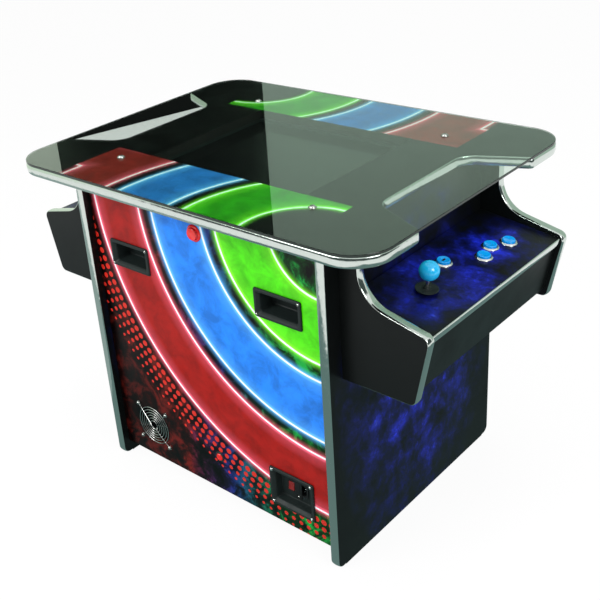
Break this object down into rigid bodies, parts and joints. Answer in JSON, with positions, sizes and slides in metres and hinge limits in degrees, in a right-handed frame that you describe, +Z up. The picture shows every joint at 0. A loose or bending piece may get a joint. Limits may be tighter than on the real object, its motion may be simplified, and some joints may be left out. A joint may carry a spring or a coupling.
{
  "type": "arcade cabinet",
  "caption": "Table-height arcade cabinet for two facing players, with a screen under a glass top and a joystick and push buttons at each end.",
  "frame": {"origin": "on the floor, under the centre of the cabinet", "axes": "+Z up, X along the table between the two players, -Y out of the side with the fan and the mains inlet"},
  "size_m": [0.946, 0.634, 0.683],
  "materials": {
    "black_board": "black laminate, smooth satin",
    "printed_board": "printed vinyl film, satin",
    "edging": "chromed flexible strip, bright",
    "glass": "polished, faint green tint",
    "cyan_plastic": "glossy moulded",
    "button_bezel": "chrome-plated",
    "red_plastic": "glossy moulded",
    "steel": "plated",
    "black_plastic": "moulded, fine grain",
    "screen": "dark panel",
    "circuit": "green resist"
  },
  "bodies": {
    "cabinet": {"top_board": "black_board", "top_edging": "edging", "glass_top": "glass", "end_board_left": "black_board", "end_board_right": "black_board", "end_edging_left_front": "edging", "end_edging_left_back": "edging", "end_edging_right_front": "edging", "end_edging_right_back": "edging", "side_board_front": "printed_board", "side_board_back": "printed_board", "base_board": "black_board", "cheek_left_front": "black_board", "cheek_edging_left_front": "edging", "cheek_left_back": "black_board", "cheek_edging_left_back": "edging", "control_board_left": "black_board", "box_fascia_left": "black_board", "button_left_start_body": "button_bezel", "button_left_near_body": "button_bezel", "button_left_middle_body": "button_bezel", "button_left_far_body": "button_bezel", "cheek_right_front": "black_board", "cheek_edging_right_front": "edging", "cheek_right_back": "black_board", "cheek_edging_right_back": "edging", "control_board_right": "black_board", "box_fascia_right": "black_board", "button_right_start_body": "button_bezel", "button_right_near_body": "button_bezel", "button_right_middle_body": "button_bezel", "button_right_far_body": "button_bezel", "monitor": "screen", "game_board": "circuit", "power_supply": "steel", "speaker": "black_plastic", "fan_frame": "black_plastic", "fan_guard": "steel", "mains_plate": "black_plastic", "handle_left": "black_plastic", "handle_right": "black_plastic", "service_button_body": "red_plastic"},
    "joystick_ring_right": {"joystick_pivot_right": "steel"},
    "joystick_lever_right": {"joystick_shaft_right": "steel", "joystick_ball_right": "cyan_plastic"},
    "button_right_start_plunger": {"button_right_start_plunger": "cyan_plastic"},
    "button_right_near_plunger": {"button_right_near_plunger": "cyan_plastic"},
    "button_right_middle_plunger": {"button_right_middle_plunger": "cyan_plastic"},
    "button_right_far_plunger": {"button_right_far_plunger": "cyan_plastic"},
    "joystick_ring_left": {"joystick_pivot_left": "steel"},
    "joystick_lever_left": {"joystick_shaft_left": "steel", "joystick_ball_left": "cyan_plastic"},
    "button_left_start_plunger": {"button_left_start_plunger": "cyan_plastic"},
    "button_left_near_plunger": {"button_left_near_plunger": "cyan_plastic"},
    "button_left_middle_plunger": {"button_left_middle_plunger": "cyan_plastic"},
    "button_left_far_plunger": {"button_left_far_plunger": "cyan_plastic"},
    "service_button_plunger": {"service_button_plunger": "red_plastic"},
    "reset_button_plunger": {"reset_button_plunger": "red_plastic"},
    "mains_rocker": {"mains_rocker": "red_plastic"},
    "fan_rotor": {"fan_rotor": "black_plastic"}
  },
  "joints": [
    {"name": "joystick_right_fore_aft", "type": "hinge", "parent": "cabinet", "child": "joystick_ring_right", "pos_m": [0.38551, -0.1058, 0.50767], "axis": [0, 1, 0], "range_deg": [-8, 8], "stiffness_Nm_per_rad": 1},
    {"name": "joystick_right_sideways", "type": "hinge", "parent": "joystick_ring_right", "child": "joystick_lever_right", "pos_m": [0.38551, -0.1058, 0.50767], "axis": [0.9899, 0, -0.1416], "range_deg": [-8, 8], "stiffness_Nm_per_rad": 1},
    {"name": "button_right_start_press", "type": "slide", "parent": "cabinet", "child": "button_right_start_plunger", "axis": [-0.1416, 0, -0.9899], "range_m": [0, 0.004], "stiffness_N_per_m": 200, "springref_m": -0.0025},
    {"name": "button_right_near_press", "type": "slide", "parent": "cabinet", "child": "button_right_near_plunger", "axis": [-0.1416, 0, -0.9899], "range_m": [0, 0.004], "stiffness_N_per_m": 200, "springref_m": -0.0025},
    {"name": "button_right_middle_press", "type": "slide", "parent": "cabinet", "child": "button_right_middle_plunger", "axis": [-0.1416, 0, -0.9899], "range_m": [0, 0.004], "stiffness_N_per_m": 200, "springref_m": -0.0025},
    {"name": "button_right_far_press", "type": "slide", "parent": "cabinet", "child": "button_right_far_plunger", "axis": [-0.1416, 0, -0.9899], "range_m": [0, 0.004], "stiffness_N_per_m": 200, "springref_m": -0.0025},
    {"name": "joystick_left_fore_aft", "type": "hinge", "parent": "cabinet", "child": "joystick_ring_left", "pos_m": [-0.38551, 0.1058, 0.50767], "axis": [0, -1, 0], "range_deg": [-8, 8], "stiffness_Nm_per_rad": 1},
    {"name": "joystick_left_sideways", "type": "hinge", "parent": "joystick_ring_left", "child": "joystick_lever_left", "pos_m": [-0.38551, 0.1058, 0.50767], "axis": [-0.9899, 0, -0.1416], "range_deg": [-8, 8], "stiffness_Nm_per_rad": 1},
    {"name": "button_left_start_press", "type": "slide", "parent": "cabinet", "child": "button_left_start_plunger", "axis": [0.1416, 0, -0.9899], "range_m": [0, 0.004], "stiffness_N_per_m": 200, "springref_m": -0.0025},
    {"name": "button_left_near_press", "type": "slide", "parent": "cabinet", "child": "button_left_near_plunger", "axis": [0.1416, 0, -0.9899], "range_m": [0, 0.004], "stiffness_N_per_m": 200, "springref_m": -0.0025},
    {"name": "button_left_middle_press", "type": "slide", "parent": "cabinet", "child": "button_left_middle_plunger", "axis": [0.1416, 0, -0.9899], "range_m": [0, 0.004], "stiffness_N_per_m": 200, "springref_m": -0.0025},
    {"name": "button_left_far_press", "type": "slide", "parent": "cabinet", "child": "button_left_far_plunger", "axis": [0.1416, 0, -0.9899], "range_m": [0, 0.004], "stiffness_N_per_m": 200, "springref_m": -0.0025},
    {"name": "service_button_press", "type": "slide", "parent": "cabinet", "child": "service_button_plunger", "axis": [0, 1, 0], "range_m": [0, 0.004], "stiffness_N_per_m": 200, "springref_m": -0.0025},
    {"name": "reset_button_press", "type": "slide", "parent": "cabinet", "child": "reset_button_plunger", "axis": [0, 1, 0], "range_m": [0, 0.003], "stiffness_N_per_m": 200, "springref_m": -0.0025},
    {"name": "mains_rocker_tilt", "type": "hinge", "parent": "cabinet", "child": "mains_rocker", "pos_m": [0.1725, -0.2298, 0.111], "axis": [1, 0, 0], "range_deg": [0, 12]},
    {"name": "fan_spin", "type": "hinge", "parent": "cabinet", "child": "fan_rotor", "pos_m": [-0.191, -0.2298, 0.1083], "axis": [0, -1, 0], "continuous": true}
  ]
}
